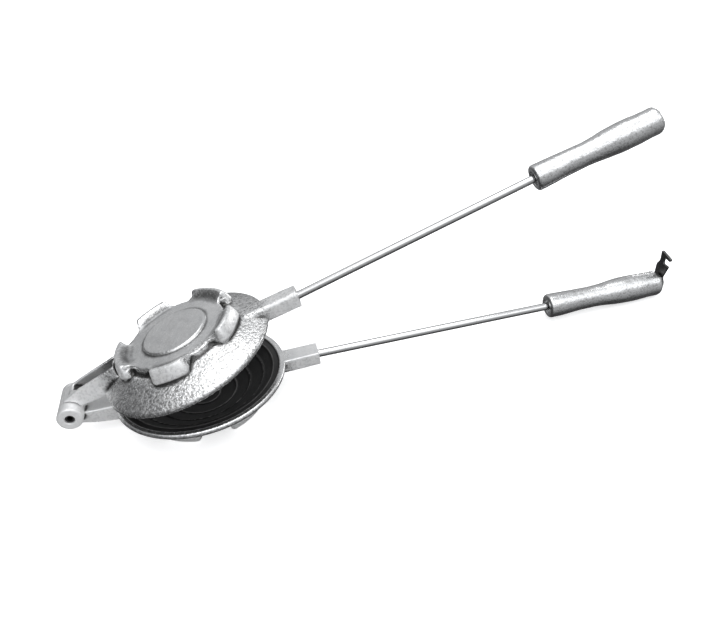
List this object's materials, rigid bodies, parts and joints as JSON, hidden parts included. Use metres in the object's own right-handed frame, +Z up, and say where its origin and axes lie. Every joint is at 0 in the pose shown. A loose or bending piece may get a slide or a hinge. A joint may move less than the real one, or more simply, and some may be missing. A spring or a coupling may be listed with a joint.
{
  "type": "jaffle maker",
  "caption": "Long-handled camp-fire jaffle maker: two hinged round cast pans with steel rods, cast grips and a swinging latch hook.",
  "frame": {"origin": "middle of the whole object's footprint, on the plane that its feet stand on", "axes": "+X from the hinge towards the grips, +Y to the left looking along +X, +Z up"},
  "size_m": [0.49, 0.13, 0.162],
  "materials": {
    "cast_aluminium": "satin",
    "polished_casting": "polished",
    "rod_steel": "polished",
    "dark_steel": "satin"
  },
  "bodies": {
    "lower_half": {"lower_pan": "cast_aluminium", "hinge_pin": "dark_steel", "lower_rod": "rod_steel", "lower_grip": "polished_casting", "latch_rivet": "dark_steel"},
    "upper_half": {"upper_pan": "cast_aluminium", "upper_rod": "rod_steel", "upper_grip": "polished_casting", "catch_stud": "dark_steel"},
    "hook": {"latch_hook": "dark_steel"}
  },
  "joints": [
    {"name": "lid_hinge", "type": "hinge", "parent": "lower_half", "child": "upper_half", "pos_m": [-0.23579, 0, 0.02502], "axis": [0, -1, 0], "range_deg": [-13.8, 105]},
    {"name": "hook_pivot", "type": "hinge", "parent": "lower_half", "child": "hook", "pos_m": [0.24119, 0, 0.01032], "axis": [0.9997, 0, -0.0227], "range_deg": [-85, 65]}
  ]
}
